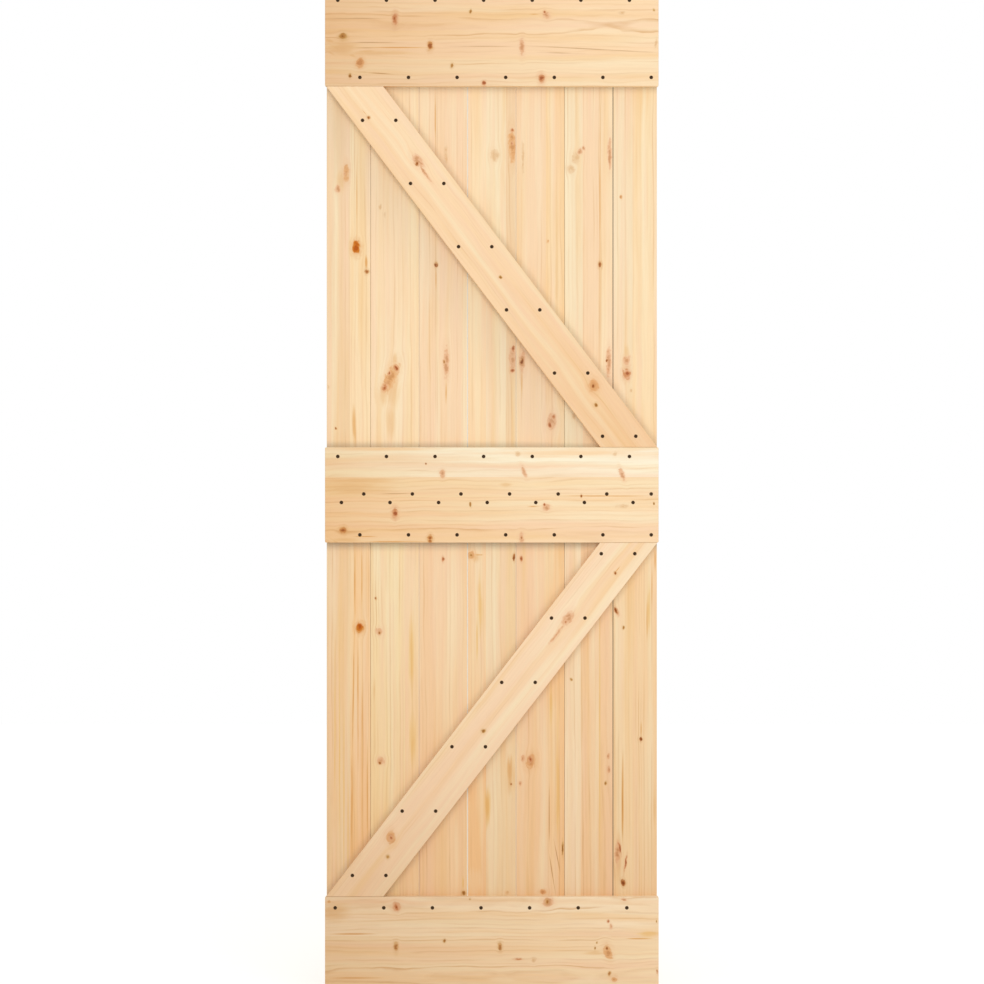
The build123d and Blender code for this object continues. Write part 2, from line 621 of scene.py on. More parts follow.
    def knot_colour(self, grain: Node, colour: Node, reaches: dict[Mark, Node]) -> Node:
        """Lays the knots and stains over the wood, the softest kinds first.

        Args:
            grain: grain coordinates.
            colour: the wood's colour so far.
            reaches: distance to the nearest mark of each kind.

        Returns:
            The colour with the knots.
        """
        pine = self.pine
        streaks, specks = (
            self.add("SeparateColor", {"Color": self.noise(grain, fuzz).outputs["Color"]})
            for fuzz in (pine.streak_fuzz, pine.knot_fuzz)
        )
        for mark in reversed(Mark):
            if mark not in reaches:
                continue
            finish = mark.value
            fuzz = specks if finish.push else streaks
            shade = self.fuzzy(reaches[mark], fuzz.outputs["Red"], pine.knot_mottle)
            tints = zip(pine.tint_places, (finish.core, finish.body, finish.body, finish.rim))
            tint = self.add("ValToRGB", {"Fac": shade}, [(place, linear(hue)) for place, hue in tints])
            edge = self.fuzzy(reaches[mark], fuzz.outputs["Green"], pine.knot_edge)
            soft = 0.0 if finish.push else pine.stain_soft
            covers = ((pine.edge_place - soft, finish.cover), (pine.halo_place, finish.halo), (1.0, 0.0))
            cover = self.add("ValToRGB", {"Fac": edge}, [(place, grey(amount)) for place, amount in covers])
            colour = self.blend(cover, colour, tint)
        return colour

    def fuzzy(self, reach: Node, fuzz: NodeSocket, depth: float) -> Node:
        """Makes the distance to a knot uneven by some depth, and gives it as a share of the knot's span."""
        moved = self.maths("MULTIPLY_ADD", fuzz, depth, reach)
        return self.rescale(moved, (depth / 2, depth / 2 + self.pine.knot_span))

    def paint_shade_along(self, colour: Node, fade: Fade) -> Node:
        """Darkens the wood towards one end of the plank: a painted shade, where less light falls."""
        low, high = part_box(self.name)
        axis, ends = ("X", (low.x, high.x)) if self.run is Run.LEVEL else ("Z", (high.z, low.z))
        along = self.add("SeparateXYZ", {"Vector": self.place}).outputs[axis]
        amount = self.rescale(along, ends, (fade.start, fade.end))
        grown = self.maths("POWER", amount, self.pine.fade_power)
        return self.blend(grown, colour, linear(fade.tint), "MULTIPLY")

    def ends(self, colour: Node) -> Node:
        """Darkens the sawn ends, where the open pores drink the light."""
        along = Matrix.Rotation(-self.lie, 3, "Y") @ Vector((1, 0, 0))
        normal = self.add("NewGeometry").outputs["Normal"]
        turn = self.maths("ABSOLUTE", self.vectors("DOT_PRODUCT", normal, along))
        sawn = self.rescale(turn, self.pine.sawn_turn)
        return self.blend(sawn, colour, linear(self.pine.end_grain), "MULTIPLY")

    def joints(self, colour: Node) -> Node:
        """Greys the chamfers of the V-joints, partly dust and partly painted shade, or paints a pale
        highlight on them.

        Args:
            colour: the wood's colour so far.

        Returns:
            The colour with the grey or the painted highlight.
        """
        facing = self.facing()
        for side, amount in zip((-1, 1), self.joint_dust_shade_glint):
            if not amount:
                continue
            slope = [side * part for part in self.pine.chamfer_turn]
            chamfer = self.rescale(facing.outputs["X"], slope, (0.0, abs(amount)))
            front = self.maths("LESS_THAN", facing.outputs["Y"], self.pine.front_turn)
            laid = self.maths("MULTIPLY", chamfer, front)
            # Grey for dust and painted shade in the groove, white for a painted highlight
            tint = linear(self.pine.joint_dust_and_painted_light if amount > 0 else self.pine.joint_painted_highlight)
            colour = self.blend(laid, colour, tint)
        return colour

    def paint_corner_shade(self, colour: Node) -> Node:
        """Paints shade on the boards' fronts beside the rails and braces, and a wider shadow below a shaded
        strip.

        Args:
            colour: the wood's colour so far.

        Returns:
            The colour with the dust.
        """
        if not self.strips:
            return colour
        painted_shade: Any = 0.0
        for strip in self.strips:
            level = self.vectors("DOT_PRODUCT", self.place, strip.across)
            aside = self.maths("SUBTRACT", level, strip.middle)
            off = self.maths("ABSOLUTE", aside)
            own = self.painted_shade(off, strip.half, strip.reach, strip.cover)
            painted_shade = self.maths("MAXIMUM", own, painted_shade)
            if strip.shade:
                wide = self.painted_shade(off, strip.half, self.pine.shade_reach, strip.shade)
                wide = self.maths("MULTIPLY", wide, self.maths("LESS_THAN", aside, 0.0))
                painted_shade = self.maths("MAXIMUM", wide, painted_shade)
        front = self.maths("LESS_THAN", self.facing().outputs["Y"], self.pine.front_turn)
        laid = self.maths("MULTIPLY", painted_shade, front)
        # Blends the grey-green painted shade into the colour, on front faces only
        return self.blend(laid, colour, linear(self.pine.painted_corner_shade))

    def painted_shade(self, off: Node, half: float, reach: float, cover: float) -> Node:
        """Thins painted shade out from a plank's edge, by the distance from its middle and half its width."""
        return self.rescale(off, (half, half + reach * MM), (cover, 0.0), "SMOOTHSTEP")


@dataclass(frozen=True)
class PhosphateSteel:
    """Steel screw with a dark phosphate coat: matt brown-black crystals with a dull metal shine."""

    dark: str = "#2F1F10"
    light: str = "#5A4022"
    dark_until: float = 0.35
    light_from: float = 0.75
    crystal: float = 0.6
    roughness: tuple[float, float] = (0.42, 0.62)
    metallic: float = 0.3
    specular: float = 0.25
    relief: float = 0.05
    relief_strength: float = 0.3

    def material(self) -> Material:
        """Makes the coat, with crystals drawn coarser than the real few hundredths of a millimetre."""
        coat = bpy.data.materials.new("phosphate_coated_steel")
        tree = blank_tree(coat)
        place = add_node(tree, "TexCoord").outputs["Object"]
        scale = per_size(self.crystal)[0]
        crystals = add_node(tree, "TexNoise", {"Vector": place, "Scale": scale, "Detail": 3.0})
        stops = [(self.dark_until, linear(self.dark)), (self.light_from, linear(self.light))]
        colour = add_node(tree, "ValToRGB", {"Fac": crystals}, stops)
        smooth, coarse = self.roughness
        rough = add_node(tree, "MapRange", {"Value": crystals, "To Min": smooth, "To Max": coarse})
        relief = add_node(
            tree,
            "Bump",
            {"Height": crystals, "Strength": self.relief_strength, "Distance": self.relief * MM},
        )
        shader = add_node(
            tree,
            "BsdfPrincipled",
            {
                "Base Color": colour,
                "Roughness": rough,
                "Normal": relief,
                "Metallic": self.metallic,
                "Specular IOR Level": self.specular,
            },
        )
        add_node(tree, "OutputMaterial", {"Surface": shader})
        return coat


def covered_strip(name: str, lie: float, cover: float, reach: float, shade: float = 0.0) -> Strip:
    """Finds the strip of the boards that a rail or brace covers.

    Args:
        name: the plank's node.
        lie: turn about Y that lays its grain along X, in radians.
        cover: how much painted shade lies along its sides.
        reach: how far that painted shade goes, in millimetres.
        shade: how much of the wider painted shadow lies on its lower side.

    Returns:
        The strip, in metres.
    """
    across = Matrix.Rotation(-lie, 3, "Y") @ Vector((0, 0, 1))
    levels = [across.dot(vertex.co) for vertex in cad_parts[name].data.vertices]
    low, high = min(levels), max(levels)
    return Strip(across, (low + high) / 2, (high - low) / 2, cover, reach, shade)


@dataclass
class Rails:
    """The three flat rails across the door's front, edge-glued from two or three wide staves."""

    looks: dict[str, Look]
    fades: dict[str, Fade]
    pine: KnottyPine
    first_seed: int = 1

    def strip(self, name: str, cover: float, reach: float = 17.0) -> Strip:
        """Finds what a rail covers of the boards, and lays painted shade along it."""
        return covered_strip(name, 0.0, cover, reach)

    def dress(self) -> None:
        """Gives each rail its own pine."""
        for i, (name, look) in enumerate(self.looks.items()):
            seed = self.first_seed + i
            PlankPine(self.pine, name, look, Run.LEVEL, lie=0.0, seed=seed, fade=self.fades[name]).dress()


@dataclass
class Braces:
    """The two diagonal braces, whose grain runs along their slope."""

    looks: dict[str, Look]
    fades: dict[str, Fade]
    pine: KnottyPine
    first_seed: int = 4

    def slope(self, name: str) -> float:
        """Finds the turn about Y that lays a brace's grain along X.

        Args:
            name: the brace's node.

        Returns:
            The turn in radians, from the middle of its foot to the middle of its head.
        """
        low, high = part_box(name)
        places = [vertex.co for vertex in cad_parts[name].data.vertices]
        head = [co.x for co in places if high.z - co.z < MM]
        foot = [co.x for co in places if co.z - low.z < MM]
        lean = (min(head) + max(head) - min(foot) - max(foot)) / 2
        rise = high.z - low.z
        return math.atan2(rise, lean) if lean > 0 else math.atan2(-rise, -lean)

    def strip(self, name: str, cover: float, reach: float = 17.0, shade: float = 0.0) -> Strip:
        """Finds what a brace covers of the boards, and lays painted shade along it."""
        return covered_strip(name, self.slope(name), cover, reach, shade)

    def dress(self) -> None:
        """Gives each brace its own pine."""
        for i, (name, look) in enumerate(self.looks.items()):
            lie = self.slope(name)
            seed = self.first_seed + i
            PlankPine(self.pine, name, look, Run.UPRIGHT, lie, seed, self.fades[name]).dress()


@dataclass
class BoardTier:
    """One tier of upright tongue-and-groove boards, from left to right."""

    prefix: str
    looks: Sequence[Look]
    fade: Fade | None
    pine: KnottyPine
    strips: Sequence[Strip]
    first_seed: int
    lie: float = math.radians(-90)
    # Grey dust and painted shade in each V-joint from the left; below 0, a painted highlight there
    joint_dust_and_painted_light: tuple[float, ...] = (0.12, -0.3, -1.0, -0.35, 0.10, 0.80)

    def dress(self) -> None:
        """Gives each board its own pine."""
        sides = (0.0, *self.joint_dust_and_painted_light, 0.0)
        for i, look in enumerate(self.looks):
            name = f"{self.prefix}_board_{i + 1}"
            seed = self.first_seed + i
            joint_dust_shade_glint = (sides[i], sides[i + 1])
            PlankPine(
                self.pine, name, look, Run.UPRIGHT, self.lie, seed, self.fade, joint_dust_shade_glint, self.strips
            ).dress()


@dataclass
class ScrewSet:
    """The countersunk wood screws of one rail or brace, one in each seat. Sizes are in millimetres.

    The foot of a seat lies between two depths. The land is the straight edge below a head's rim, and the
    arm share tells the corners at the ends of the cross from those between its arms.
    """

    plank: str
    steel: Material
    seat_foot: tuple[float, float] = (1.5, 6.0)
    head_radius: float = 4.0
    sunk: float = 0.15
    rim: float = 0.25
    land: float = 0.125
    shank_radius: float = 2.1
    shank_depth: float = 1.90
    recess_reach: float = 2.1
    recess_width: float = 0.5
    recess_depth: float = 1.1
    recess_taper: float = 0.6
    cross_corners: int = 12
    arm_share: float = 1.1
    sides: int = 24
    turn_step: float = math.radians(47)
    sharp_angle: float = math.radians(35)

    def seats(self) -> list[Vector]:
        """Finds the middle of each seat in the plank's front.

        Returns:
            Points on the front plane, in metres, from the ring of corners at the foot of each seat.
        """
        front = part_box(self.plank)[0].y
        shallow, deep = self.seat_foot
        rings: list[list[Vector]] = []
        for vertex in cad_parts[self.plank].data.vertices:
            depth = vertex.co.y - front
            if not shallow * MM < depth < deep * MM:
                continue
            near = next((r for r in rings if (r[0] - vertex.co).length < 2 * self.head_radius * MM), None)
            if near:
                near.append(vertex.co)
            else:
                rings.append([vertex.co])
        middles = []
        for ring in rings:
            xs, zs = [co.x for co in ring], [co.z for co in ring]
            middles.append(Vector(((min(xs) + max(xs)) / 2, front, (min(zs) + max(zs)) / 2)))
        return sorted(middles, key=lambda middle: (round(-middle.z, 3), middle.x))

    def head(self, mesh: BMesh) -> None:
        """Models one screw head about the origin, facing up Z, with a cross recess.

        Args:
            mesh: an empty bmesh.
        """
        face = Matrix.Translation((0, 0, -self.sunk * MM))
        turn = Matrix.Rotation(math.pi / self.cross_corners, 4, "Z")
        reach, width = self.recess_reach * MM, self.recess_width * MM
        cross = bmesh.ops.create_circle(
            mesh, segments=self.cross_corners, radius=reach, matrix=face @ turn
        )["verts"]
        for vertex in cross:
            x, y = vertex.co.x, vertex.co.y
            vertex.co.x = math.copysign(reach if abs(x) > self.arm_share * abs(y) else width, x)
            vertex.co.y = math.copysign(reach if abs(y) > self.arm_share * abs(x) else width, y)
        mouth = list({edge for vertex in cross for edge in vertex.link_edges})
        rim = bmesh.ops.create_circle(
            mesh, segments=self.sides, radius=(self.head_radius - self.rim) * MM, matrix=face
        )["verts"]
        ring = list({edge for vertex in rim for edge in vertex.link_edges})
        bmesh.ops.bridge_loops(mesh, edges=mouth + ring)

        levels = (
            (self.head_radius, self.sunk + self.rim),
            (self.head_radius, self.sunk + self.rim + self.land),
            (self.shank_radius, self.shank_depth),
        )
        radius, depth = self.head_radius - self.rim, self.sunk
        for next_radius, next_depth in levels:
            grown = bmesh.ops.extrude_edge_only(mesh, edges=ring)["geom"]
            paint_corner_shade = pick(grown, BMVert)
            ring = pick(grown, BMEdge)
            factor = next_radius / radius
            bmesh.ops.scale(mesh, vec=(factor, factor, 1), verts=paint_corner_shade)
            bmesh.ops.translate(mesh, vec=(0, 0, (depth - next_depth) * MM), verts=paint_corner_shade)
            radius, depth = next_radius, next_depth
        bmesh.ops.contextual_create(mesh, geom=ring)

        grown = bmesh.ops.extrude_edge_only(mesh, edges=mouth)["geom"]
        floor = pick(grown, BMVert)
        bmesh.ops.scale(mesh, vec=(self.recess_taper, self.recess_taper, 1), verts=floor)
        bmesh.ops.translate(mesh, vec=(0, 0, -self.recess_depth * MM), verts=floor)
        bmesh.ops.contextual_create(mesh, geom=pick(grown, BMEdge))
        bmesh.ops.recalc_face_normals(mesh, faces=mesh.faces)

    def build(self) -> Object:
        """Makes every screw of the plank as one piece that rides with it.

        Returns:
            The screws' object.
        """
        mesh = bmesh.new()
        self.head(mesh)
        template = mesh.verts[:] + mesh.edges[:] + mesh.faces[:]
        for i, seat in enumerate(self.seats()):
            copy = bmesh.ops.duplicate(mesh, geom=template)["geom"]
            paint_corner_shade = pick(copy, BMVert)
            turn = Matrix.Rotation(math.radians(90), 4, "X") @ Matrix.Rotation(i * self.turn_step, 4, "Z")
            bmesh.ops.transform(mesh, matrix=Matrix.Translation(seat) @ turn, verts=paint_corner_shade)
        bmesh.ops.delete(mesh, geom=pick(template, BMVert))
        for face in mesh.faces:
            face.smooth = True
        data = bpy.data.meshes.new(f"{self.plank}_screws")
        mesh.to_mesh(data)
        mesh.free()
        data.set_sharp_from_angle(angle=self.sharp_angle)
        data.materials.append(self.steel)
        screws = bpy.data.objects.new(f"{self.plank}_screws", data)
        bpy.context.scene.collection.objects.link(screws)
        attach(screws, "root")
        return screws


def seen_directly(tree: NodeTree) -> Node:
    """Tells where a surface is seen by the camera, in a reflection or through glass.

    Args:
        tree: the material's or world's node tree.

    Returns:
        A node that gives 1 there, and 0 where the surface only sheds light.
    """
    path = add_node(tree, "LightPath")
    seen: Any = path.outputs["Is Camera Ray"]
    for ray in ("Is Glossy Ray", "Is Transmission Ray"):
        seen = add_node(tree, "Math", {0: seen, 1: path.outputs[ray]}, operation="MAXIMUM")
    return seen


@dataclass
class Studio:
    """A white studio: pale floor, even light from all round, and a large soft lamp above the camera."""

    camera_distance: float = 6.0
    sensor: float = 36.0
    floor_size: float = 14.0
    floor_drop: float = 0.010
    floor_colour: str = "#F4F2EF"
    floor_glow: float = 0.25
    fill: float = 0.88
    lamp_place: tuple[float, float, float] = (1.0, -4.2, 0.4)
    lamp_target: tuple[float, float, float] = (0.0, 0.0, -0.9)
    lamp_size: float = 2.6
    lamp_power: float = 33.0

    def camera(self) -> None:
        """Puts the camera square in front of the door, so that its frame is the photograph's."""
        lens = bpy.data.cameras.new("camera")
        lens.sensor_width = self.sensor
        width = PHOTO.pixels * PHOTO.mm_per_pixel * MM
        lens.lens = self.sensor * self.camera_distance / width
        camera = bpy.data.objects.new("camera", lens)
        middle = PHOTO.pixels / 2
        camera.location = (PHOTO.x(middle), -self.camera_distance, PHOTO.z(middle))
        camera.rotation_euler = (math.radians(90), 0, 0)
        bpy.context.scene.collection.objects.link(camera)
        bpy.context.scene.camera = camera

    def floor(self) -> None:
        """Lays a pale floor just under the door, where its foot clears it."""
        mesh = bmesh.new()
        level = Matrix.Translation((0, 0, cad_box[0][2] - self.floor_drop))
        bmesh.ops.create_grid(mesh, x_segments=1, y_segments=1, size=self.floor_size / 2, matrix=level)
        data = bpy.data.meshes.new("floor")
        mesh.to_mesh(data)
        mesh.free()
        paper = bpy.data.materials.new("matt_white_paper")
        tree = blank_tree(paper)
        matt = add_node(tree, "BsdfDiffuse", {"Color": linear(self.floor_colour)})
        seen = seen_directly(tree)
        glow = add_node(tree, "Math", {0: seen, 1: self.floor_glow}, operation="MULTIPLY")
        light = add_node(tree, "Emission", {"Strength": glow})
        both = add_node(tree, "AddShader", {0: matt, 1: light})
        add_node(tree, "OutputMaterial", {"Surface": both})
        data.materials.append(paper)
        floor = bpy.data.objects.new("floor", data)
        bpy.context.scene.collection.objects.link(floor)

    def light(self) -> None:
        """Lights the door evenly, with a soft lamp from above and a little to the right."""
        world = bpy.data.worlds.new("studio")
        tree = blank_tree(world)
        seen = seen_directly(tree)
        strength = add_node(tree, "MapRange", {"Value": seen, "To Min": self.fill, "To Max": 1.0})
        background = add_node(tree, "Background", {"Color": (1, 1, 1, 1), "Strength": strength})
        add_node(tree, "OutputWorld", {"Surface": background})
        bpy.context.scene.world = world

        softbox = bpy.data.lights.new("softbox", "AREA")
        softbox.shape = "SQUARE"
        softbox.size = self.lamp_size
        softbox.energy = self.lamp_power
        lamp = bpy.data.objects.new("softbox", softbox)
        lamp.location = self.lamp_place
        aim = Vector(self.lamp_target) - Vector(self.lamp_place)
        lamp.rotation_euler = aim.to_track_quat("-Z", "Y").to_euler()
        bpy.context.scene.collection.objects.link(lamp)

    def build(self) -> None:
        """Sets up camera, floor and light."""
        self.camera()
        self.floor()
        self.light()
        bpy.context.scene.view_settings.view_transform = "Standard"


# Painted shade along the planks: darker towards the rails' left ends and the foot of the braces and lower
# boards
RAIL_SHADE_FADES = {
    "top_rail": Fade("#EBDED0", start=1.0, end=0.1),
    "middle_rail": Fade("#F1E3D0", start=1.0, end=0.0),
    "bottom_rail": Fade("#E5D9CD", start=1.0, end=0.5),
}
BRACE_SHADE_FADES = {
    "upper_brace": Fade("#F8EEE4", start=0.0, end=1.0),
    "lower_brace": Fade("#EAE2D8", start=0.0, end=1.0),
}
LOWER_SHADE_FADE = Fade("#EBDED0", start=0.4, end=1.0)

RAIL_LOOKS = {
    "top_rail": Look.of(
        (Stave(Tone.PEACH, Cut.WAVY, 59), Stave(Tone.CREAM, Cut.WAVY)),
        Knot(395, 19, 11, 26, Mark.RED),
        Knot(343, 36, 15, 14, Mark.HAZEL),
        Knot(430, 46, 11, 19, Mark.RUST),
        Knot(393, 47.5, 150, 3, Mark.RESIN),
        Knot(360, 63, 16, 22, Mark.APRICOT),
        Knot(350, 76, 6, 10, Mark.HAZEL),
        Knot(380, 73.4, 84, 3.5, Mark.PITCH, lean=4),
        Knot(452, 65.5, 6, 11, Mark.HAZEL),
        Knot(484, 83, 8, 10, Mark.RED),
        Knot(541.5, 78.5, 13, 20, Mark.RED),
        Knot(522, 47, 11, 38, Mark.PINK),
        Knot(544.5, 12, 6, 7, Mark.RED),
        Knot(546.5, 15.5, 16, 15, Mark.PINK),
        Knot(534, 14.2, 30, 4, Mark.RESIN),
        Knot(470.5, 11.4, 5, 8, Mark.HAZEL),
        Knot(622, 13, 14, 9, Mark.FAINT),
        Knot(654, 10, 4, 5, Mark.HAZEL),
        Knot(656, 43, 6, 20, Mark.FAINT),
        Knot(343, 48, 76, 40, Mark.STAIN),
        Knot(330, 41, 24, 9, Mark.STAIN, lean=15),
        Knot(338, 49, 62, 8, Mark.STAIN, lean=30),
        Knot(331, 53, 26, 7, Mark.STAIN, lean=25),
        Knot(352.5, 55.5, 22, 8, Mark.STAIN, lean=20),
        Knot(376, 42.4, 120, 2.5, Mark.LINE),
        Knot(366, 47.8, 70, 2.5, Mark.LINE),
        Knot(367, 51, 40, 2.5, Mark.RESIN),
        Knot(483, 46.3, 140, 2.5, Mark.LINE),
        Knot(590, 49, 290, 3, Mark.LINE, lean=3),
        Knot(560, 53, 100, 2.5, Mark.LINE, lean=1),
        Knot(358, 18.4, 140, 2.5, Mark.LINE),
        Knot(378, 53, 170, 14, Mark.STAIN),
    ),
    "middle_rail": Look.of(
        (
            Stave(Tone.MILK, Cut.SOFT, 477),
            Stave(Tone.STRAW, Cut.WAVY, 497),
            Stave(Tone.PEACH, Cut.WAVY),
        ),
        Knot(442.5, 473.6, 11, 19, Mark.PINK),
        Knot(524, 472, 8, 26, Mark.PINK, lean=-20),
        Knot(622, 474, 9, 28, Mark.PINK, lean=-20),
        Knot(518, 454, 10, 10, Mark.FAINT),
        Knot(615, 454, 10, 9, Mark.FAINT),
        Knot(426, 463.5, 4, 4, Mark.DARK),
        Knot(581.4, 496, 4.5, 8, Mark.DARK),
        Knot(604, 496, 196, 3, Mark.RESIN),
        Knot(395, 513, 12, 22, Mark.RED),
        Knot(470.6, 504.6, 5, 10, Mark.HAZEL),
        Knot(544.5, 504.5, 5, 6, Mark.RED),
        Knot(546.5, 507.5, 15, 14, Mark.PINK),
        Knot(533, 506.5, 36, 5, Mark.RESIN),
        Knot(622, 506.4, 26, 9, Mark.FAINT),
        Knot(654, 503.6, 4, 5, Mark.HAZEL),
        Knot(343, 530, 15, 14, Mark.RUST),
        Knot(430, 539, 11, 18, Mark.RUST),
        Knot(521.4, 537, 11, 24, Mark.PINK),
        Knot(521.4, 538, 3, 4, Mark.DARK),
        Knot(506, 485, 30, 12, Mark.STAIN),
        Knot(570, 453, 420, 22, Mark.BUTTER),
        Knot(385, 449, 240, 10, Mark.BUTTER),
        Knot(394, 493.5, 66, 2.5, Mark.LINE),
        Knot(354, 488, 190, 36, Mark.STAIN),
        Knot(345, 540, 84, 12, Mark.STAIN),
        Knot(356, 480.5, 190, 15, Mark.STAIN),
        Knot(338, 543, 62, 8, Mark.STAIN, lean=30),
        Knot(366, 536.5, 58, 2.5, Mark.RESIN),
        Knot(393, 541.5, 150, 3, Mark.RESIN),
    ),
    "bottom_rail": Look.of(
        (Stave(Tone.IVORY, Cut.WAVY, 936), Stave(Tone.CREAM, Cut.WAVY)),
        Knot(396.4, 907, 7, 16, Mark.RED, lean=-20),
        Knot(396.4, 907, 18, 20, Mark.PINK),
        Knot(396, 946.6, 9, 20, Mark.TAWNY),
        Knot(444.4, 941, 6, 7, Mark.HAZEL),
        Knot(500, 946.6, 9, 19, Mark.TAWNY),
        Knot(547, 901.6, 8, 10, Mark.TAWNY),
        Knot(548, 902.4, 22, 20, Mark.PINK),
        Knot(606.6, 948, 5, 8, Mark.DARK),
        Knot(608, 952, 17, 34, Mark.APRICOT, lean=-15),
        Knot(595, 948, 4, 7, Mark.HAZEL),
        Knot(597.5, 942.5, 3, 4, Mark.HAZEL),
        Knot(608, 921, 5, 6, Mark.RED),
        Knot(611, 926, 7, 11, Mark.PINK),
        Knot(533.6, 960, 10, 12, Mark.FAINT),
        Knot(518, 959, 16, 4, Mark.RED),
        Knot(609.6, 973.6, 6, 9, Mark.TAWNY),
        Knot(614, 979, 12, 12, Mark.APRICOT),
        Knot(649, 934, 56, 20, Mark.SAP),
        Knot(640, 938.6, 60, 3.5, Mark.RESIN),
        Knot(595, 953, 56, 12, Mark.STAIN),
        Knot(657, 971.6, 5, 12, Mark.PINK),
        Knot(656.6, 921, 3, 6, Mark.HAZEL),
        Knot(329, 901.6, 8, 8, Mark.RESIN),
        Knot(470, 899, 4, 4, Mark.HAZEL),
        Knot(624, 899.6, 11, 5, Mark.PINK),
        Knot(334, 912, 80, 50, Mark.STAIN),
        Knot(350, 934, 100, 4, Mark.RESIN),
        Knot(356, 978, 120, 4, Mark.RESIN),
    ),
}

BRACE_LOOKS = {
    "upper_brace": Look.of(
        (Stave(Tone.PEACH, Cut.SOFT),),
        Knot(368.5, 117.6, 6, 7, Mark.DARK),
        Knot(364.5, 112.5, 26, 2.5, Mark.RESIN, lean=51),
        Knot(417, 164, 6, 8, Mark.DARK),
        Knot(418, 161, 34, 19, Mark.PINK, lean=53),
        Knot(425, 173, 46, 6, Mark.PINK, lean=53),
        Knot(500.6, 277, 6, 6, Mark.HAZEL),
        Knot(593, 386, 6, 8, Mark.DARK),
        Knot(593.5, 386, 20, 27, Mark.APRICOT),
        Knot(596, 405, 8, 8, Mark.HAZEL),
    ),
    "lower_brace": Look.of(
        (Stave(Tone.BLUSH, Cut.SOFT),),
        Knot(615.4, 573.4, 6, 7, Mark.DARK),
        Knot(617.5, 569.5, 20, 2.5, Mark.RESIN, lean=-51),
        Knot(566, 622, 6, 8, Mark.RED),
        Knot(568, 618.5, 34, 19, Mark.PINK, lean=-53),
        Knot(556, 635, 46, 6, Mark.PINK, lean=-53),
        Knot(483.4, 731, 8, 9, Mark.HAZEL),
        Knot(391, 838, 7, 9, Mark.RED),
        Knot(391, 837.5, 19, 28, Mark.APRICOT),
        Knot(388, 857, 8, 8, Mark.HAZEL),
    ),
}

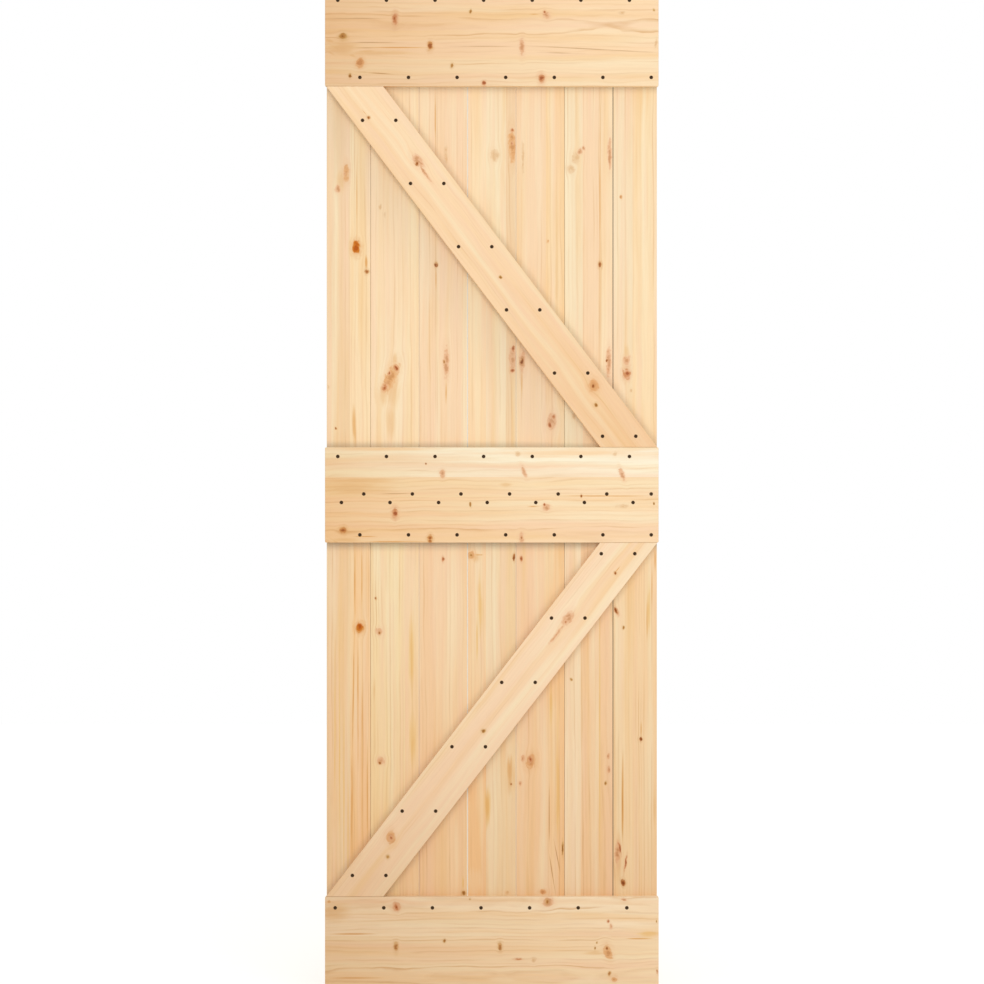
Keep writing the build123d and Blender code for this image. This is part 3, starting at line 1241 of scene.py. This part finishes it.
UPPER_LOOKS = (
    Look.of(
        (Stave(Tone.TAN, Cut.QUARTER, 349.5), Stave(Tone.STRAW, Cut.RIFT)),
        Knot(346, 172, 13, 42, Mark.APRICOT),
        Knot(344.6, 173, 3, 5, Mark.RED),
        Knot(337, 188, 11, 16, Mark.PINK),
        Knot(340, 180, 22, 60, Mark.STAIN),
        Knot(356, 247, 16, 28, Mark.ORANGE),
        Knot(366.4, 271, 9, 11, Mark.DARK),
        Knot(366, 262, 7, 34, Mark.RESIN),
        Knot(354, 425, 11, 100, Mark.RESIN),
        Knot(356.5, 200, 3, 180, Mark.RESIN),
        Knot(335, 428, 4, 5, Mark.DARK),
        Knot(328, 387, 5, 10, Mark.FAINT),
    ),
    Look.of(
        (Stave(Tone.CREAM, Cut.CLEAR, 408), Stave(Tone.STRAW, Cut.RIFT)),
        Knot(380, 206, 6, 12, Mark.FAINT),
        Knot(385, 214, 6, 12, Mark.FAINT),
        Knot(396, 367.6, 8, 12, Mark.RED, lean=-20),
        Knot(389, 373, 6, 9, Mark.RED),
        Knot(390, 378, 24, 66, Mark.APRICOT, lean=25),
        Knot(384.6, 387, 9, 17, Mark.RED, lean=25),
        Knot(392, 392, 34, 90, Mark.STAIN),
        Knot(390, 422, 24, 96, Mark.STAIN),
        Knot(383, 395, 18, 60, Mark.STAIN),
        Knot(394, 359, 14, 34, Mark.STAIN),
    ),
    Look.of(
        (Stave(Tone.BISQUE, Cut.RIFT, 436), Stave(Tone.BISQUE, Cut.QUARTER)),
        Knot(435, 118, 3, 110, Mark.RESIN),
        Knot(446, 154, 9, 44, Mark.FAINT),
        Knot(435.6, 264, 7, 10, Mark.DARK),
        Knot(435.8, 278, 2.5, 56, Mark.RESIN),
        Knot(446, 362, 13, 66, Mark.PINK),
        Knot(444, 362, 4, 9, Mark.DARK),
        Knot(446, 392, 4, 56, Mark.RESIN),
    ),
    Look.of(
        (
            Stave(Tone.HONEY, Cut.CLEAR, 486),
            Stave(Tone.PALE, Cut.CLEAR, 506),
            Stave(Tone.TAN, Cut.RIFT),
        ),
        Knot(495, 154, 22, 26, Mark.FAINT),
        Knot(512, 129, 8, 8, Mark.RED),
        Knot(512, 142, 4, 6, Mark.RED),
        Knot(512, 145, 16, 74, Mark.APRICOT),
        Knot(512.5, 358, 16, 60, Mark.PINK),
        Knot(513.5, 348, 7, 18, Mark.RED),
        Knot(513, 370, 10, 7, Mark.RED),
    ),
    Look.of(
        (Stave(Tone.BISQUE, Cut.QUARTER, 546), Stave(Tone.GOLD, Cut.RIFT)),
        Knot(523, 157, 6, 76, Mark.FAINT),
        Knot(548, 241, 5, 7, Mark.APRICOT),
        Knot(557, 270, 8, 420, Mark.STAIN),
        Knot(522, 361, 6, 11, Mark.DARK),
        Knot(522.4, 360, 13, 52, Mark.PINK),
        Knot(522, 380, 3, 76, Mark.RESIN),
        Knot(550, 424.6, 8, 12, Mark.RED),
        Knot(554, 416.4, 8, 10, Mark.RED),
        Knot(552, 421, 22, 34, Mark.PINK),
    ),
    Look.of(
        (
            Stave(Tone.PALE, Cut.CLEAR, 583),
            Stave(Tone.BISQUE, Cut.RIFT, 600.5),
            Stave(Tone.CREAM, Cut.QUARTER),
        ),
        Knot(583.4, 147.4, 7, 9, Mark.PINK),
        Knot(580, 150.5, 10, 12, Mark.PINK),
        Knot(576, 157, 18, 24, Mark.FAINT),
        Knot(571, 168, 18, 20, Mark.FAINT),
        Knot(610, 152, 8, 70, Mark.PINK),
        Knot(600.3, 176, 3, 380, Mark.RESIN),
        Knot(600, 264, 8, 12, Mark.DARK),
        Knot(609, 362, 11, 62, Mark.PINK),
        Knot(607, 360, 4, 9, Mark.DARK),
        Knot(574, 416, 9, 16, Mark.FAINT),
    ),
    Look.of(
        (Stave(Tone.PALE, Cut.CLEAR, 633), Stave(Tone.STRAW, Cut.QUARTER)),
        Knot(621.6, 196, 5, 9, Mark.APRICOT),
        Knot(627, 373, 17, 26, Mark.RED),
        Knot(627, 360, 17, 19, Mark.PINK),
        Knot(627, 352, 12, 40, Mark.STAIN),
        Knot(632, 390, 6, 8, Mark.FAINT),
    ),
)

LOWER_LOOKS = (
    Look.of(
        (Stave(Tone.TAN, Cut.STRIPED, 349.5), Stave(Tone.AMBER, Cut.RIFT)),
        Knot(359.6, 628.2, 17, 21, Mark.ORANGE),
        Knot(334.5, 720, 3.5, 520, Mark.SAP),
        Knot(339, 740, 3.5, 560, Mark.SAP),
        Knot(343.5, 800, 3.5, 420, Mark.SAP),
        Knot(347.6, 830, 3, 300, Mark.SAP),
        Knot(354.4, 582, 4, 170, Mark.RESIN),
        Knot(361.5, 578, 3, 150, Mark.RESIN),
        Knot(353, 690, 4, 330, Mark.RESIN, lean=1),
        Knot(351.6, 810, 5.5, 300, Mark.RESIN),
        Knot(357.6, 690, 3, 380, Mark.RESIN),
        Knot(361.8, 760, 3, 420, Mark.RESIN),
        Knot(367, 800, 3, 260, Mark.RESIN),
    ),
    Look.of(
        (Stave(Tone.LEMON, Cut.RIFT, 405), Stave(Tone.HONEY, Cut.CLEAR)),
        Knot(375.4, 599, 4, 5, Mark.DARK),
        Knot(379, 633.4, 5, 6, Mark.DARK),
        Knot(379, 632, 14, 17, Mark.PINK),
        Knot(379.4, 763.6, 5.5, 7, Mark.DARK),
        Knot(380.4, 761.4, 16, 17, Mark.PINK),
        Knot(374, 690, 6, 60, Mark.STAIN),
        Knot(411.6, 655, 15, 180, Mark.SAP),
        Knot(412.6, 742, 17, 130, Mark.SAP),
        Knot(412, 878, 30, 90, Mark.BUTTER),
    ),
    Look.of(
        (Stave(Tone.ROSE, Cut.RIFT, 436), Stave(Tone.PEACH, Cut.QUARTER)),
        Knot(443, 559.6, 5, 12, Mark.RED),
        Knot(464, 894, 8, 10, Mark.HAZEL),
        Knot(463, 884, 5, 34, Mark.SAP),
    ),
    Look.of(
        (Stave(Tone.AMBER, Cut.RIFT, 486), Stave(Tone.PALE, Cut.CLEAR)),
        Knot(471, 555.4, 6, 7, Mark.TAWNY),
        Knot(471.4, 555.4, 14, 16, Mark.APRICOT),
        Knot(475, 558, 26, 24, Mark.STAIN),
        Knot(478, 555, 22, 4, Mark.RESIN),
        Knot(480, 606, 14, 160, Mark.SAP),
        Knot(477, 640, 5, 120, Mark.SAP),
        Knot(514, 557.6, 6, 16, Mark.DARK),
        Knot(487.4, 808, 16, 96, Mark.SAP),
        Knot(487.2, 808, 10, 88, Mark.RESIN),
        Knot(510.5, 777, 24, 86, Mark.STAIN),
        Knot(509.6, 770, 13, 66, Mark.RESIN),
        Knot(511, 785, 5, 7, Mark.DARK),
        Knot(507, 894, 8, 9, Mark.FAINT),
        Knot(475, 884, 34, 70, Mark.BUTTER),
    ),
    Look.of(
        (Stave(Tone.ROSE, Cut.QUARTER, 546), Stave(Tone.AMBER, Cut.STRIPED)),
        Knot(521.4, 559.4, 6, 13, Mark.RED),
        Knot(530, 760, 8, 12, Mark.RED),
        Knot(531, 762.4, 20, 32, Mark.APRICOT, lean=15),
        Knot(523, 759, 9, 13, Mark.PINK),
        Knot(520, 784, 6, 9, Mark.PINK),
        Knot(562.8, 850, 4, 30, Mark.HAZEL),
        Knot(543.4, 893, 16, 10, Mark.APRICOT),
        Knot(551, 705, 8, 120, Mark.SAP),
        Knot(558, 790, 11, 300, Mark.SAP),
        Knot(549.4, 812, 2.5, 170, Mark.PITCH),
        Knot(552, 872, 2.5, 96, Mark.PITCH, lean=-9),
        Knot(557.4, 858, 2.5, 80, Mark.PITCH, lean=-11),
    ),
    Look.of(
        (Stave(Tone.IVORY, Cut.CLEAR, 581), Stave(Tone.ROSE, Cut.RIFT)),
        Knot(571.4, 680, 5, 6, Mark.HAZEL),
        Knot(609, 757, 7, 12, Mark.PINK),
        Knot(609, 770, 8, 16, Mark.PINK),
        Knot(606, 784, 5, 7, Mark.HAZEL),
        Knot(600, 740, 4, 640, Mark.SAP),
    ),
    Look.of(
        (Stave(Tone.STRAW, Cut.STRIPED, 633), Stave(Tone.HONEY, Cut.WAVY)),
        Knot(616, 610.6, 5.5, 14, Mark.DARK, lean=-28),
        Knot(617, 612, 10, 18, Mark.PINK, lean=-28),
        Knot(624, 628, 5, 7, Mark.HAZEL),
        Knot(649.4, 608, 9, 150, Mark.SAP),
        Knot(652.4, 592, 3, 120, Mark.RESIN),
        Knot(647.6, 624, 3.5, 110, Mark.RESIN),
        Knot(655.6, 560, 4, 60, Mark.RESIN),
        Knot(641, 740, 7, 10, Mark.DARK),
        Knot(641.5, 730, 3, 44, Mark.RESIN),
        Knot(623, 800, 6, 190, Mark.RESIN),
        Knot(622.8, 806, 3, 190, Mark.PITCH),
        Knot(626, 864, 4, 34, Mark.RED, lean=10),
        Knot(618, 854, 12, 50, Mark.PINK),
        Knot(619, 858, 22, 110, Mark.STAIN),
        Knot(620, 849, 4, 26, Mark.RED, lean=-15),
        Knot(623.4, 883.6, 9, 15, Mark.DARK, lean=-15),
        Knot(655, 810, 7, 90, Mark.STAIN),
    ),
)


def main() -> None:
    """Dresses the planks, makes the screws and sets up the studio."""
    logging.basicConfig(level=logging.INFO, format="%(name)s %(message)s")
    pine = KnottyPine()
    wild_pine = replace(
        pine,
        waves=replace(pine.waves, long=170.0, wide=60.0),
        wave_aside=15.0,
        patches=replace(pine.patches, long=110.0, wide=11.0),
    )
    rails = Rails(RAIL_LOOKS, RAIL_SHADE_FADES, wild_pine)
    rails.dress()
    braces = Braces(BRACE_LOOKS, BRACE_SHADE_FADES, wild_pine)
    braces.dress()
    # Painted shade beside the rails and braces on each tier, and a wider painted shadow below the upper brace
    above = (
        rails.strip("top_rail", cover=0.25),
        rails.strip("middle_rail", cover=0.38),
        braces.strip("upper_brace", cover=0.25, shade=0.12),
    )
    below = (
        rails.strip("middle_rail", cover=0.45, reach=22.0),
        braces.strip("lower_brace", cover=0.18),
    )
    BoardTier("upper", UPPER_LOOKS, None, pine, above, first_seed=6).dress()
    BoardTier("lower", LOWER_LOOKS, LOWER_SHADE_FADE, pine, below, first_seed=13).dress()
    steel = PhosphateSteel().material()
    for plank in (*RAIL_LOOKS, *BRACE_LOOKS):
        screws = ScrewSet(plank, steel).build()
        LOG.info("%s: %d faces", screws.name, len(screws.data.polygons))
    Studio().build()


if __name__ == "__main__":
    main()
